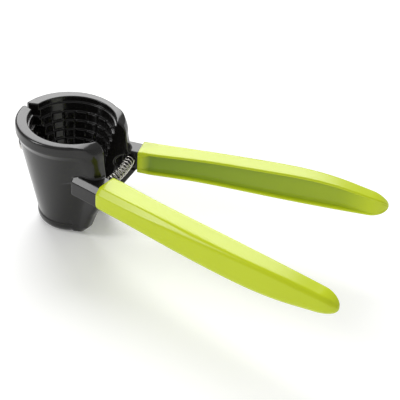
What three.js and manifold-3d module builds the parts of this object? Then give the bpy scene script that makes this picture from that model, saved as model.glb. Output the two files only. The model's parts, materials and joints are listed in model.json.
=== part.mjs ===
// A funnel nutcracker. Two toothed half-cups hinge together at the back of the cup, each cast in
// one with its lever arm. A compression spring between the arms holds the cup open, and a moulded
// sleeve covers each lever. Millimetres, +Z up, standing on the flat of the cup's base, with the
// levers along +X and the two halves mirrored about the XZ plane.
import * as THREE from 'three';
import { mergeVertices } from 'three/addons/utils/BufferGeometryUtils.js';
import Module from 'manifold-3d';

const wasm = await Module();
wasm.setup();

// Cup, outside
const CUP_HEIGHT = 56;
const RIM_RADIUS = 25;
const COLLAR_HEIGHT = 5;
const COLLAR_OVERHANG = 1.3;
const COLLAR_ROUND = 1.4;
const BASE_RADIUS = 16.2;
const BASE_HEIGHT = 6;
const BASE_STEP = 0.4;
const BASE_ROUND = 4.5;

// Cup, inside: a round funnel, set off its centre so that the wall is thickest at the hinge
const HINGE_WALL = 5.8;
const FRONT_WALL = 3.2;
const FLOOR_THICKNESS = 4;
const CAVITY_FLOOR_RADIUS = 9.4;
const LEDGE_DEPTH = 2.8;
const LEDGE_WIDTH = 1.0;
const FIRST_TOOTH_DEPTH = 7.4;
const TOOTH_ROWS = 10;
const TOOTH_COLUMNS = 10;
const TOOTH_DEPTH = 1.3;
const TOOTH_GROOVE = 0.9;
const GROOVE_REACH = 4;
const GROOVE_SKIN = 0.15;

// Split between the two halves, with the cup shut
const SPLIT_HALF_GAP = 1.4;
const HINGE_EDGE_GAP = 0.3;

// Hinge
const KNUCKLE_RADIUS = 3.3;
const KNUCKLE_HEIGHT = 4.6;
const PIN_RADIUS = 2;
const BORE_CLEARANCE = 0.1;
const WASHER_THICKNESS = 0.5;
const FIT_GAP = 0.3;
const PIN_HEAD_RADIUS = 3.1;
const PIN_HEAD_HEIGHT = 1.4;
const OPEN_ANGLE = THREE.MathUtils.degToRad(20);

// Lever arms and the sleeves on them
const ARM_HEIGHT = 34.9;
const ARM_REACH = 6;
const ARM_INSET = 1;
const CORE_INSET = 1.5;
const SLEEVE_WALL = 1.2;
const HANDLE_LENGTH = 119.5;
const HANDLE_BEVEL = 2.6;
const HANDLE_ROUND = 1.6;
const LIP_ROUND = 0.9;
const RECESS_DEPTH = 2.4;
const RECESS_LIP = 1.3;
const RECESS_DRAFT = 0.4;
const RECESS_START = [0.02, 0.06];
const RECESS_END = [0.72, 0.93];
const WEB_THICKNESS = 5;
const WEB_FLARE = 1.6;
const WEB_FLARE_TOP = 0.5;
const WEB_FLARE_HEIGHT = 5;
const WEB_TOP_SETBACK = 1.8;
const LOWER_WEB_DROP = 9;

// Free edge of the web between the arm and the foot, [x, z] from the foot up
const FOOT_WEB_EDGE = [
  [15, 1.6],
  [18.9, 6.5],
  [21.9, 15],
  [25, 21],
];

// Spring
const SPRING_RADIUS = 2.6;
const SPRING_WIRE = 0.7;
const SPRING_COILS = 11;
const SPRING_POCKET = 1.7;
const SPRING_POCKET_ROOM = 0.5;
const SPRING_PEG_LENGTH = 2;
const SPRING_FROM_SLEEVE = 4.2;

const FULL_TURN = 2 * Math.PI;
const ROUND_STEPS = 4;
const SLEEVE_ROUND_STEPS = 2;
const CUP_SEGMENTS = 48;
const BAR_SEGMENTS = 24;
const SLEEVE_RINGS = 30;
const CORE_RINGS = 20;
const WIRE_SIDES = 6;
const WIRE_STEPS_PER_COIL = 12;
const OVERLAP = 1;
const MERGE_DISTANCE = 1e-4;

// The sleeve's outer size at even steps from its root to its tip: distance of its middle from the
// split plane, thickness across, height, and rise of its middle above the arm's.
const HANDLE_STATIONS = [
  { offset: 8.2, thickness: 12.9, height: 12, rise: 0 },
  { offset: 10, thickness: 11.5, height: 13, rise: 0.9 },
  { offset: 10.8, thickness: 10.8, height: 14.4, rise: 1.4 },
  { offset: 10.5, thickness: 9, height: 14.3, rise: 1.8 },
  { offset: 7.6, thickness: 7.5, height: 8.8, rise: 2.1 },
];
const TIP_LENGTH = 7;
const TIP_FULLNESS_LIMIT = 0.93;
const TIP_FLAT = 0.2;
const TIP_CROWDING = 1.5;
const BEVEL_LIMIT = 0.6;
const ROUND_LIMIT = 0.4;
const LIP_LIMIT = 0.45;

// ---------------------------------------------------------------- worked-out sizes
const hingeX = -(RIM_RADIUS + FIT_GAP);
const collarBottom = CUP_HEIGHT - COLLAR_HEIGHT;
const neckRadius = RIM_RADIUS - COLLAR_OVERHANG;
const cavityRadius = RIM_RADIUS - (HINGE_WALL + FRONT_WALL) / 2;
const cavityOffset = (HINGE_WALL - FRONT_WALL) / 2;
const rootX = RIM_RADIUS + ARM_REACH;
const root = HANDLE_STATIONS[0];
const armInnerY = root.offset - root.thickness / 2 + ARM_INSET;
const armBottom = ARM_HEIGHT - root.height / 2 + ARM_INSET;
const armTop = ARM_HEIGHT + root.height / 2 - ARM_INSET;
const springX = rootX - SPRING_FROM_SLEEVE;
const springSeatY = armInnerY + SPRING_POCKET;
const pegRadius = SPRING_RADIUS - SPRING_WIRE - FIT_GAP;
const knucklePitch = KNUCKLE_HEIGHT + WASHER_THICKNESS + 2 * FIT_GAP;
const topKnuckle = collarBottom - COLLAR_OVERHANG - KNUCKLE_HEIGHT;

// ---------------------------------------------------------------- solids
function toSolid(geometry) {
  const plain = geometry.index ? geometry.toNonIndexed() : geometry.clone();
  plain.deleteAttribute('normal');
  plain.deleteAttribute('uv');
  const merged = mergeVertices(plain, MERGE_DISTANCE);
  const index = merged.index.array;
  const triangles = [];
  for (let i = 0; i < index.length; i += 3) {
    const [a, b, c] = [index[i], index[i + 1], index[i + 2]];
    if (a !== b && b !== c && c !== a) triangles.push(a, b, c);
  }
  return new wasm.Manifold(new wasm.Mesh({
    numProp: 3,
    vertProperties: new Float32Array(merged.attributes.position.array),
    triVerts: new Uint32Array(triangles),
  }));
}

function toGeometry(solid) {
  const mesh = solid.getMesh();
  const geometry = new THREE.BufferGeometry();
  geometry.setAttribute('position', new THREE.BufferAttribute(mesh.vertProperties, 3));
  geometry.setIndex(new THREE.BufferAttribute(mesh.triVerts, 1));
  geometry.computeVertexNormals();
  return geometry;
}

// The same geometry on the other side of the split, its faces still pointing out.
function mirrored(geometry) {
  geometry.scale(1, -1, 1);
  const index = geometry.index.array;
  for (let i = 0; i < index.length; i += 3) [index[i], index[i + 1]] = [index[i + 1], index[i]];
  geometry.computeVertexNormals();
  return geometry;
}

function join(solids) {
  return solids.reduce((whole, next) => whole.add(next));
}

// The cup is round with the tool open, so what belongs to it is drawn that way, and this turns
// it about the hinge to where the far half of it lies with the tool shut.
function shut(geometry) {
  geometry.translate(-hingeX, 0, 0);
  geometry.rotateZ(-OPEN_ANGLE / 2);
  geometry.translate(hingeX, 0, 0);
  return toSolid(geometry);
}

// A solid of revolution of the cup. The profile lists [radius, z] from the axis up to the axis.
function revolve(profile, centreX) {
  const points = profile.map(([r, z]) => new THREE.Vector2(r, z));
  const geometry = new THREE.LatheGeometry(points, CUP_SEGMENTS);
  geometry.rotateX(Math.PI / 2);
  geometry.translate(centreX, 0, 0);
  return shut(geometry);
}

// A block between two corners.
function block(low, high) {
  const size = high.map((value, axis) => value - low[axis]);
  const geometry = new THREE.BoxGeometry(...size);
  geometry.translate(low[0] + size[0] / 2, low[1] + size[1] / 2, low[2] + size[2] / 2);
  return toSolid(geometry);
}

// An upright round bar on the hinge axis.
function hingeBar(radius, low, high) {
  const geometry = new THREE.CylinderGeometry(radius, radius, high - low, BAR_SEGMENTS);
  geometry.rotateX(Math.PI / 2);
  geometry.translate(hingeX, 0, (low + high) / 2);
  return toSolid(geometry);
}

// A plate of the given XZ outline, from Y low to Y high.
function plate(outline, low, high) {
  const shape = new THREE.Shape(outline.map(([x, z]) => new THREE.Vector2(x, z)));
  const geometry = new THREE.ExtrudeGeometry(shape, { depth: high - low, bevelEnabled: false });
  geometry.rotateX(Math.PI / 2);
  geometry.translate(0, high, 0);
  return toSolid(geometry);
}

// Points of an arc about [x, y], from angle a to angle b.
function arc(x, y, radius, a, b, steps = ROUND_STEPS) {
  return Array.from({ length: steps + 1 }, (_, i) => {
    const angle = a + ((b - a) * i) / steps;
    return [x + radius * Math.cos(angle), y + radius * Math.sin(angle)];
  });
}

// ---------------------------------------------------------------- cup
function cupOutside() {
  return revolve([
    [0, 0],
    ...arc(BASE_RADIUS - BASE_ROUND, BASE_ROUND, BASE_ROUND, -Math.PI / 2, 0),
    [BASE_RADIUS, BASE_HEIGHT],
    [BASE_RADIUS - BASE_STEP, BASE_HEIGHT],
    [neckRadius, collarBottom - COLLAR_OVERHANG],
    [RIM_RADIUS, collarBottom],
    ...arc(RIM_RADIUS - COLLAR_ROUND, CUP_HEIGHT - COLLAR_ROUND, COLLAR_ROUND, 0, Math.PI / 2),
    [0, CUP_HEIGHT],
  ], 0);
}

// The cavity's radius where a tooth row begins, the rows counted down from the top.
const toothTop = CUP_HEIGHT - FIRST_TOOTH_DEPTH;
const toothPitch = (toothTop - FLOOR_THICKNESS) / TOOTH_ROWS;
const toothTopRadius = cavityRadius - LEDGE_WIDTH;

function rowRadius(row) {
  return toothTopRadius + ((CAVITY_FLOOR_RADIUS - toothTopRadius) * row) / TOOTH_ROWS;
}

// The funnel's hollow. Each tooth row is a ledge that stands in from the wall above it and
// slopes back out below.
function cavity() {
  const rows = [];
  for (let row = TOOTH_ROWS; row >= 1; row -= 1) {
    const low = toothTop - row * toothPitch;
    rows.push([rowRadius(row), low]);
    rows.push([rowRadius(row - 1) - TOOTH_DEPTH, low + toothPitch]);
  }
  return revolve([
    [0, FLOOR_THICKNESS],
    ...rows,
    [toothTopRadius, toothTop],
    [toothTopRadius, CUP_HEIGHT - LEDGE_DEPTH],
    [cavityRadius, CUP_HEIGHT - LEDGE_DEPTH],
    [cavityRadius, CUP_HEIGHT + OVERLAP],
    [0, CUP_HEIGHT + OVERLAP],
  ], cavityOffset);
}

// Upright grooves that part each tooth row into blocks.
function toothGrooves() {
  const low = toothTop - (TOOTH_ROWS - 1) * toothPitch;
  const outline = [
    [rowRadius(TOOTH_ROWS - 1) - GROOVE_REACH, low],
    [rowRadius(TOOTH_ROWS - 1) - GROOVE_SKIN, low],
    [toothTopRadius - GROOVE_SKIN, toothTop],
    [toothTopRadius - GROOVE_REACH, toothTop + FIT_GAP],
  ];
  const step = Math.PI / TOOTH_COLUMNS;
  return Array.from({ length: TOOTH_COLUMNS }, (_, i) => {
    const shape = new THREE.Shape(outline.map(([r, z]) => new THREE.Vector2(r, z)));
    const geometry = new THREE.ExtrudeGeometry(shape, { depth: TOOTH_GROOVE, bevelEnabled: false });
    geometry.translate(0, 0, -TOOTH_GROOVE / 2);
    geometry.rotateX(Math.PI / 2);
    geometry.rotateZ((i + 0.5) * step);
    geometry.translate(cavityOffset, 0, 0);
    return shut(geometry);
  });
}

// What the far half of the cup may fill: beyond the split plane, which slants in to the hinge
// so that the two rims all but touch at their outer edge.
function farSide() {
  const beyond = 2 * RIM_RADIUS;
  const shape = new THREE.Shape([
    new THREE.Vector2(-beyond, beyond),
    new THREE.Vector2(-beyond, HINGE_EDGE_GAP),
    new THREE.Vector2(-RIM_RADIUS, HINGE_EDGE_GAP),
    new THREE.Vector2(-(RIM_RADIUS - HINGE_WALL), SPLIT_HALF_GAP),
    new THREE.Vector2(beyond, SPLIT_HALF_GAP),
    new THREE.Vector2(beyond, beyond),
  ]);
  const depth = CUP_HEIGHT + 2 * OVERLAP;
  const geometry = new THREE.ExtrudeGeometry(shape, { depth, bevelEnabled: false });
  geometry.translate(0, 0, -OVERLAP);
  return toSolid(geometry);
}

// ---------------------------------------------------------------- lever
// Smooth value of one station size at a share of the handle's length.
function handleSize(key, share) {
  const values = HANDLE_STATIONS.map((station) => station[key]);
  const last = values.length - 1;
  const along = THREE.MathUtils.clamp(share, 0, 1) * last;
  const i = Math.min(Math.floor(along), last - 1);
  const before = values[Math.max(i - 1, 0)];
  const after = values[Math.min(i + 2, last)];
  const t = along - i;
  const [a, b] = [values[i], values[i + 1]];
  const slopeA = (b - before) / 2;
  const slopeB = (after - a) / 2;
  return a + t * (slopeA + t * (3 * (b - a) - 2 * slopeA - slopeB + t * (2 * (a - b) + slopeA + slopeB)));
}

// How full the section is near the rounded tip, from 1 down to a small flat.
function tipFactor(distanceFromTip) {
  const t = THREE.MathUtils.clamp(1 - distanceFromTip / TIP_LENGTH, 0, TIP_FULLNESS_LIMIT);
  return Math.sqrt(1 - t * t);
}

// Depth of the long recess in the sleeve's inner face.
function recessDepth(share) {
  const rise = THREE.MathUtils.smoothstep(share, ...RECESS_START);
  const fall = 1 - THREE.MathUtils.smoothstep(share, ...RECESS_END);
  return RECESS_DEPTH * rise * fall;
}

// The handle's section, [y, z] around its middle, drawn in by inset. The sleeve's inner face is
// hollowed between two lips; an inset section is flat there instead.
function handleSection(share, inset, fullness) {
  const halfWidth = (handleSize('thickness', share) / 2) * fullness - inset;
  const halfHeight = (handleSize('height', share) / 2) * fullness - inset;
  const depth = recessDepth(share) * fullness;
  const bevel = Math.min(HANDLE_BEVEL, halfHeight * BEVEL_LIMIT) * fullness;
  const round = Math.min(HANDLE_ROUND, halfHeight * ROUND_LIMIT) * fullness;
  const lipRound = Math.min(LIP_ROUND, halfHeight * ROUND_LIMIT) * fullness;
  const inner = -halfWidth + (inset > 0 ? depth : 0);
  const lip = Math.min(RECESS_LIP, halfHeight * LIP_LIMIT);
  const hollow = inset > 0 ? 0 : depth;
  const lipZ = halfHeight - lip;
  return [
    ...arc(halfWidth - round, -halfHeight + round, round, -Math.PI / 2, 0, SLEEVE_ROUND_STEPS),
    ...arc(halfWidth - bevel, halfHeight - bevel, bevel, 0, Math.PI / 2, SLEEVE_ROUND_STEPS),
    ...arc(inner + lipRound, halfHeight - lipRound, lipRound, Math.PI / 2, Math.PI, SLEEVE_ROUND_STEPS),
    [inner, lipZ],
    [inner + hollow, lipZ - hollow * RECESS_DRAFT],
    [inner + hollow, -lipZ + hollow * RECESS_DRAFT],
    [inner, -lipZ],
    ...arc(inner + lipRound, -halfHeight + lipRound, lipRound, Math.PI, 1.5 * Math.PI, SLEEVE_ROUND_STEPS),
  ];
}

// A bar that follows the handle from startX to endX: a round prism whose rings are moved onto
// the handle's own sections.
function handleBar(inset, startX, endX, steps) {
  const corners = handleSection(0, inset, 1).length;
  const ring = Array.from({ length: corners }, (_, i) => {
    const angle = (FULL_TURN * i) / corners;
    return new THREE.Vector2(Math.cos(angle), Math.sin(angle));
  });
  const prism = { depth: 1, steps, bevelEnabled: false };
  const geometry = new THREE.ExtrudeGeometry(new THREE.Shape(ring), prism);
  const position = geometry.attributes.position;
  const tipX = rootX + HANDLE_LENGTH - inset;
  for (let i = 0; i < position.count; i += 1) {
    const turn = Math.atan2(position.getY(i), position.getX(i)) / FULL_TURN;
    const corner = (Math.round(turn * corners) + corners) % corners;
    const along = 1 - (1 - position.getZ(i)) ** TIP_CROWDING;
    const x = startX + (endX - startX) * along;
    const share = (x - rootX) / HANDLE_LENGTH;
    const [y, z] = handleSection(share, inset, tipFactor(tipX - x))[corner];
    const middleY = handleSize('offset', share);
    const middleZ = ARM_HEIGHT + handleSize('rise', share);
    position.setXYZ(i, x, middleY + y, middleZ + z);
  }
  return toSolid(geometry);
}

function sleeve() {
  const tipX = rootX + HANDLE_LENGTH;
  const outside = handleBar(0, rootX, tipX - TIP_FLAT, SLEEVE_RINGS);
  const boreEnd = tipX - TIP_LENGTH - SLEEVE_WALL;
  const inside = handleBar(SLEEVE_WALL, rootX - OVERLAP, boreEnd, CORE_RINGS);
  return outside.subtract(inside);
}

// The lever: a bare arm from the cup to the sleeve, and the thinner core inside the sleeve.
function lever() {
  const tipX = rootX + HANDLE_LENGTH;
  const arm = handleBar(ARM_INSET, BASE_RADIUS - BASE_STEP, rootX - FIT_GAP, 1);
  const coreEnd = tipX - TIP_LENGTH - CORE_INSET - FIT_GAP;
  const core = handleBar(CORE_INSET, rootX - OVERLAP, coreEnd, CORE_RINGS);
  return arm.add(core);
}

// Upright webs beside the split that carry the lever's load into the cup wall. The upper one
// stands on the arm and the lowest one runs down to the foot, both ending in the split face. The
// one between them is flush with the arm's inner face, clear of the spring.
function leverWebs() {
  const wallFoot = BASE_RADIUS - BASE_STEP - HINGE_WALL / 2;
  const armEnd = rootX - 2 * FIT_GAP;
  const upper = plate([
    [wallFoot, armTop - ARM_INSET],
    [RIM_RADIUS + WEB_FLARE, armTop - ARM_INSET],
    [RIM_RADIUS + WEB_FLARE_TOP, armTop + WEB_FLARE_HEIGHT],
    [RIM_RADIUS - WEB_TOP_SETBACK, CUP_HEIGHT - COLLAR_ROUND],
    [wallFoot, CUP_HEIGHT - COLLAR_ROUND],
  ], SPLIT_HALF_GAP, SPLIT_HALF_GAP + WEB_THICKNESS);
  const middle = plate([
    [wallFoot, armBottom - LOWER_WEB_DROP],
    [armEnd, armBottom],
    [armEnd, armTop - ARM_INSET],
    [wallFoot, armTop - ARM_INSET],
  ], armInnerY, armInnerY + WEB_THICKNESS);
  const [[, footZ]] = FOOT_WEB_EDGE;
  const lower = plate([
    [wallFoot, footZ],
    ...FOOT_WEB_EDGE,
    [armEnd, armBottom],
    [wallFoot, armBottom],
  ], SPLIT_HALF_GAP, SPLIT_HALF_GAP + WEB_THICKNESS);
  return join([upper, middle, lower]);
}

// A round bar across the arm on the spring's line, from Y low to Y high.
function springBar(radius, low, high) {
  const geometry = new THREE.CylinderGeometry(radius, radius, high - low, BAR_SEGMENTS);
  geometry.translate(springX, (low + high) / 2, ARM_HEIGHT);
  return toSolid(geometry);
}

// The pocket in the arm's inner face that takes the end of the spring.
function springPocket() {
  return springBar(SPRING_RADIUS + SPRING_POCKET_ROOM, armInnerY - OVERLAP, springSeatY);
}

// The peg that stands up from the pocket's floor inside the spring.
function springPeg() {
  return springBar(pegRadius, armInnerY - SPRING_PEG_LENGTH, springSeatY + OVERLAP);
}

// ---------------------------------------------------------------- hinge knuckles
// Knuckle 0 is the top one, under the collar. Each is a barrel on the hinge axis.
function knuckleRange(place) {
  const low = topKnuckle - place * knucklePitch;
  return [low, low + KNUCKLE_HEIGHT];
}

function knuckle(place) {
  const [low, high] = knuckleRange(place);
  const barrel = hingeBar(KNUCKLE_RADIUS, low, high);
  const web = block([hingeX, HINGE_EDGE_GAP, low], [-BASE_RADIUS, KNUCKLE_RADIUS, high]);
  return barrel.add(web);
}

function knuckleRoom(place) {
  const [low, high] = knuckleRange(place);
  const gap = FIT_GAP + WASHER_THICKNESS + FIT_GAP;
  return hingeBar(KNUCKLE_RADIUS + FIT_GAP, low - gap, high + gap);
}

// One jaw, drawn on the far side of the split: half-cup, lever, web and its own knuckles.
function jaw(ownKnuckles, otherKnuckles) {
  const cupHalf = cupOutside().intersect(farSide());
  const casting = join([cupHalf, lever(), leverWebs()]);
  const body = casting.subtract(springPocket()).add(springPeg());
  const cleared = otherKnuckles.reduce((solid, place) => solid.subtract(knuckleRoom(place)), body);
  const hinged = join([cleared, ...ownKnuckles.map(knuckle)]);
  const hollow = hinged.subtract(cavity());
  const toothed = toothGrooves().reduce((solid, groove) => solid.subtract(groove), hollow);
  const [lowest] = knuckleRange(2);
  const boreTop = topKnuckle + KNUCKLE_HEIGHT + FIT_GAP;
  const bore = hingeBar(PIN_RADIUS + BORE_CLEARANCE, lowest - OVERLAP, boreTop);
  return toothed.subtract(bore);
}

// ---------------------------------------------------------------- pieces
function washer(radius, low) {
  const disc = hingeBar(radius, low, low + WASHER_THICKNESS);
  const hole = hingeBar(PIN_RADIUS + BORE_CLEARANCE, low - OVERLAP, low + OVERLAP);
  return toGeometry(disc.subtract(hole));
}

function hingePin() {
  const [lowest] = knuckleRange(2);
  const headTop = lowest - 2 * FIT_GAP - WASHER_THICKNESS;
  const shank = hingeBar(PIN_RADIUS, headTop - PIN_HEAD_HEIGHT / 2, topKnuckle + KNUCKLE_HEIGHT);
  const head = hingeBar(PIN_HEAD_RADIUS, headTop - PIN_HEAD_HEIGHT, headTop);
  return toGeometry(shank.add(head));
}

// The middle line of the spring wire: a coil around an arc about the hinge axis, which is the
// line that both spring pegs travel on.
class CoilCurve extends THREE.Curve {
  constructor(coilRadius, arcRadius, halfAngle, turns) {
    super();
    this.coilRadius = coilRadius;
    this.arcRadius = arcRadius;
    this.halfAngle = halfAngle;
    this.turns = turns;
  }

  getPoint(t, target = new THREE.Vector3()) {
    const turn = FULL_TURN * this.turns * t;
    const bend = this.halfAngle * (2 * t - 1);
    const reach = this.arcRadius + this.coilRadius * Math.cos(turn);
    return target.set(reach * Math.cos(bend), reach * Math.sin(bend), this.coilRadius * Math.sin(turn));
  }
}

// The spring with the cup open, between the floors of the pockets in the two arms.
function springCoil() {
  const arcRadius = Math.hypot(springX - hingeX, springSeatY);
  const endRoom = FIT_GAP + SPRING_WIRE / 2;
  const halfAngle = OPEN_ANGLE / 2 + Math.asin((springSeatY - endRoom) / arcRadius);
  const curve = new CoilCurve(SPRING_RADIUS - SPRING_WIRE / 2, arcRadius, halfAngle, SPRING_COILS);
  const section = new THREE.Shape(Array.from({ length: WIRE_SIDES }, (_, i) => {
    const angle = (FULL_TURN * i) / WIRE_SIDES;
    return new THREE.Vector2(Math.cos(angle), Math.sin(angle)).multiplyScalar(SPRING_WIRE / 2);
  }));
  const steps = SPRING_COILS * WIRE_STEPS_PER_COIL;
  return toSolid(new THREE.ExtrudeGeometry(section, { extrudePath: curve, steps }));
}

// ---------------------------------------------------------------- materials
function castBlack() {
  return new THREE.MeshStandardMaterial({ color: 0x1c1b1c, roughness: 0.3, metalness: 0.2 });
}

function limePlastic() {
  return new THREE.MeshStandardMaterial({ color: 0xb4cb12, roughness: 0.28, metalness: 0 });
}

function steel() {
  return new THREE.MeshStandardMaterial({ color: 0xbdbbb6, roughness: 0.3, metalness: 1 });
}

function nylon() {
  return new THREE.MeshStandardMaterial({ color: 0xd8d6cf, roughness: 0.5, metalness: 0 });
}

function piece(name, geometry, material) {
  const mesh = new THREE.Mesh(geometry, material);
  mesh.name = name;
  mesh.position.x = -hingeX;
  return mesh;
}

// ---------------------------------------------------------------- assembly
const nearKnuckles = [1];
const farKnuckles = [0, 2];
const [lowestKnuckle] = knuckleRange(2);
const [middleKnuckle] = knuckleRange(1);

const farHalf = new THREE.Group();
farHalf.rotation.z = OPEN_ANGLE / 2;
farHalf.add(
  piece('far_jaw', toGeometry(jaw(farKnuckles, nearKnuckles)), castBlack()),
  piece('far_grip', toGeometry(sleeve()), limePlastic()),
  piece('hinge_pin', hingePin(), steel()),
  piece('head_washer', washer(PIN_HEAD_RADIUS, lowestKnuckle - FIT_GAP - WASHER_THICKNESS), steel()),
  piece('lower_thrust_washer', washer(KNUCKLE_RADIUS, middleKnuckle - FIT_GAP - WASHER_THICKNESS), nylon()),
  piece('upper_thrust_washer', washer(KNUCKLE_RADIUS, topKnuckle - FIT_GAP - WASHER_THICKNESS), nylon()),
);

const nearHalf = new THREE.Group();
nearHalf.rotation.z = -OPEN_ANGLE / 2;
nearHalf.add(
  piece('near_jaw', mirrored(toGeometry(jaw(nearKnuckles, farKnuckles))), castBlack()),
  piece('near_grip', mirrored(toGeometry(sleeve())), limePlastic()),
);

const spring = new THREE.Mesh(toGeometry(springCoil()), steel());
spring.name = 'return_spring';
spring.position.z = ARM_HEIGHT;

const nutcracker = new THREE.Group();
nutcracker.add(farHalf, nearHalf, spring);
nutcracker.updateMatrixWorld(true);
const bounds = new THREE.Box3().setFromObject(nutcracker, true);
nutcracker.position.x = -(bounds.min.x + bounds.max.x) / 2;
nutcracker.updateMatrixWorld(true);

export default nutcracker;
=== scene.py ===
"""A funnel nutcracker: two enamelled half-cups on a hinge, lime sleeves on the levers, a coil spring.

Every shape is drawn in millimetres for the shut tool, with +X along the lever and the half in
question at +Y. make_piece() turns it open about the hinge and into the frame. The cup is round with
the tool open, so its own shapes are worked out at points turned open first.
"""

import json
import math

import bpy
import numpy as np
from mathutils import Matrix, Vector


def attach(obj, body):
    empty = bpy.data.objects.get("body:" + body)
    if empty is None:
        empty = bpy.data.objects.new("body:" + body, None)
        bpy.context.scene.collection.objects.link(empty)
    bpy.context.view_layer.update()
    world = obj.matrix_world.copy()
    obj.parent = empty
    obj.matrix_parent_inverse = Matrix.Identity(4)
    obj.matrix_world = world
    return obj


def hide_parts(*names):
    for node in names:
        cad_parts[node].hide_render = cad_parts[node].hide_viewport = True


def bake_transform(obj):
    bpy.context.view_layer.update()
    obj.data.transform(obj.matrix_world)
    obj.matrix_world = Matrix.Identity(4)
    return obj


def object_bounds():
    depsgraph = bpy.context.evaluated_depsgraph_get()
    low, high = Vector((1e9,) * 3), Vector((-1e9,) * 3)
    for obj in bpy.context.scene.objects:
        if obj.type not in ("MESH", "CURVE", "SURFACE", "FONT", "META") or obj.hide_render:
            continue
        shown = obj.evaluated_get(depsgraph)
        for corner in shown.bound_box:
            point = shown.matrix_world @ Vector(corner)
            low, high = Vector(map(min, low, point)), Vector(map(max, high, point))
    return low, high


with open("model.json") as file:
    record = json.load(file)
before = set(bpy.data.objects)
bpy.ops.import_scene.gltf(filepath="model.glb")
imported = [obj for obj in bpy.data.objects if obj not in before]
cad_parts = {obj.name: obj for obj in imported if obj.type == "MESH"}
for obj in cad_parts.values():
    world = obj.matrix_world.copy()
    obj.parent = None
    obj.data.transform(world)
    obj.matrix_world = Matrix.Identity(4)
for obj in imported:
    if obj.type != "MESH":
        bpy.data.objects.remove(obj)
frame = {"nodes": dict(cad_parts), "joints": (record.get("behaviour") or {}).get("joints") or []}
cad_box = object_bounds()

# ---------------------------------------------------------------- what the frame says
MM = 0.001
hinge_joint = frame["joints"][0]
hinge = Vector(hinge_joint["pos_m"])
half_open = math.radians(hinge_joint["range_deg"][1]) / 2


def open_points(node):
    """A node's vertices in millimetres as the frame has them, measured from the hinge."""
    points = np.array([v.co for v in frame["nodes"][node].data.vertices])
    return (points - np.array((hinge.x, hinge.y, 0))) / MM


def shut_points(node):
    """A far-half node's vertices in millimetres, with the tool shut, measured from the hinge."""
    points = open_points(node)
    c, s = math.cos(-half_open), math.sin(-half_open)
    x, y = points[:, 0] * c - points[:, 1] * s, points[:, 0] * s + points[:, 1] * c
    return np.stack([x, y, points[:, 2]], axis=1)


FIT_GAP = 0.3
RIM_SHARE = 0.95
FOOT_SHARE = 0.1
cup_points = open_points("far_jaw")
jaw_points = shut_points("far_jaw")
grip_points = shut_points("far_grip")
CUP_HEIGHT = jaw_points[:, 2].max()
RIM_RADIUS = cup_points[cup_points[:, 2] > RIM_SHARE * CUP_HEIGHT, 1].max()
BASE_RADIUS = cup_points[cup_points[:, 2] < FOOT_SHARE * CUP_HEIGHT, 1].max()
HINGE_X = -(RIM_RADIUS + FIT_GAP)
SLEEVE_START = grip_points[:, 0].min() + HINGE_X
SLEEVE_END = grip_points[:, 0].max() + HINGE_X

# ---------------------------------------------------------------- sizes, as the part has them
COLLAR_HEIGHT = 5
COLLAR_OVERHANG = 1.3
COLLAR_ROUND = 1.4
COLLAR_FOOT_DOWN = 2.0
COLLAR_KNEE_DOWN = 1.2
COLLAR_KNEE_OUT = 0.35
COLLAR_LIP_INSET = 0.1
COLLAR_LIP_HEIGHT = 0.6
BASE_HEIGHT = 6
BASE_STEP = 0.4
BASE_STEP_BELOW = 0.4
BASE_STEP_ABOVE = 0.2
BASE_ROUND = 4.5
HINGE_WALL = 5.8
FRONT_WALL = 3.2
FLOOR_THICKNESS = 4
CAVITY_FLOOR_RADIUS = 9.4
LEDGE_DEPTH = 2.8
LEDGE_WIDTH = 1.0
FIRST_TOOTH_DEPTH = 7.4
TOOTH_ROWS = 10
TOOTH_COLUMNS = 10
TOOTH_DEPTH = 1.3
TOOTH_GROOVE = 0.9
GROOVED_TOOTH_DEPTH = 0.15
GROOVE_ABOVE = 0.6
GROOVE_FILLET = 0.15
CAVITY_ABOVE_RIM = 4
SPLIT_HALF_GAP = 1.4
HINGE_EDGE_GAP = 0.3
KNUCKLE_RADIUS = 3.28
KNUCKLE_HEIGHT = 4.6
KNUCKLE_EDGE = 0.35
KNUCKLE_BLOCK_EDGE = 0.2
KNUCKLE_FILLET = 0.3
KNUCKLE_ROOM = 0.3
KNUCKLE_ROOM_EDGE = 0.1
BORE_RADIUS = 2.1
WASHER_ROOM = 1.1
SLEEVE_WALL = 1.2
WEB_THICKNESS = 5
SPRING_RADIUS = 2.6
SPRING_WIRE = 0.7
SPRING_COILS = 11
SPRING_POCKET = 1.7
SPRING_POCKET_ROOM = 0.5
SPRING_PEG_LENGTH = 2
SPRING_BAR_EDGE = 0.15
POCKET_EDGE = 0.2
BAR_OVERRUN = 1
SPRING_FROM_SLEEVE = 4.2
TIP_LENGTH = 8.5

# ---------------------------------------------------------------- distance fields
FAR_AWAY = 1e9
NO_LENGTH = 1e-12


def meet(a, b, radius):
    """What lies in both fields, with the edge between them rounded to the radius."""
    rounding = np.hypot(np.maximum(radius + a, 0), np.maximum(radius + b, 0))
    return np.minimum(-radius, np.maximum(a, b)) + rounding


def join(a, b, radius):
    """What lies in either field, with a fillet of the radius between them."""
    rounding = np.hypot(np.maximum(radius - a, 0), np.maximum(radius - b, 0))
    return np.maximum(radius, np.minimum(a, b)) - rounding


def box_field(p, low, high, radius):
    """An upright box with its edges rounded to the radius."""
    middle, half = (np.array(low) + high) / 2, (np.array(high) - low) / 2 - radius
    q = [np.abs(p[axis] - middle[axis]) - half[axis] for axis in range(3)]
    outside = np.sqrt(sum(np.maximum(v, 0) ** 2 for v in q))
    return outside + np.minimum(np.maximum(np.maximum(q[0], q[1]), q[2]), 0) - radius


def bar_field(p, x, y, radius, low, high, edge):
    """An upright round bar with its end edges rounded."""
    around = np.hypot(p[0] - x, p[1] - y) - radius
    return meet(around, np.maximum(low - p[2], p[2] - high), edge)


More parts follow.
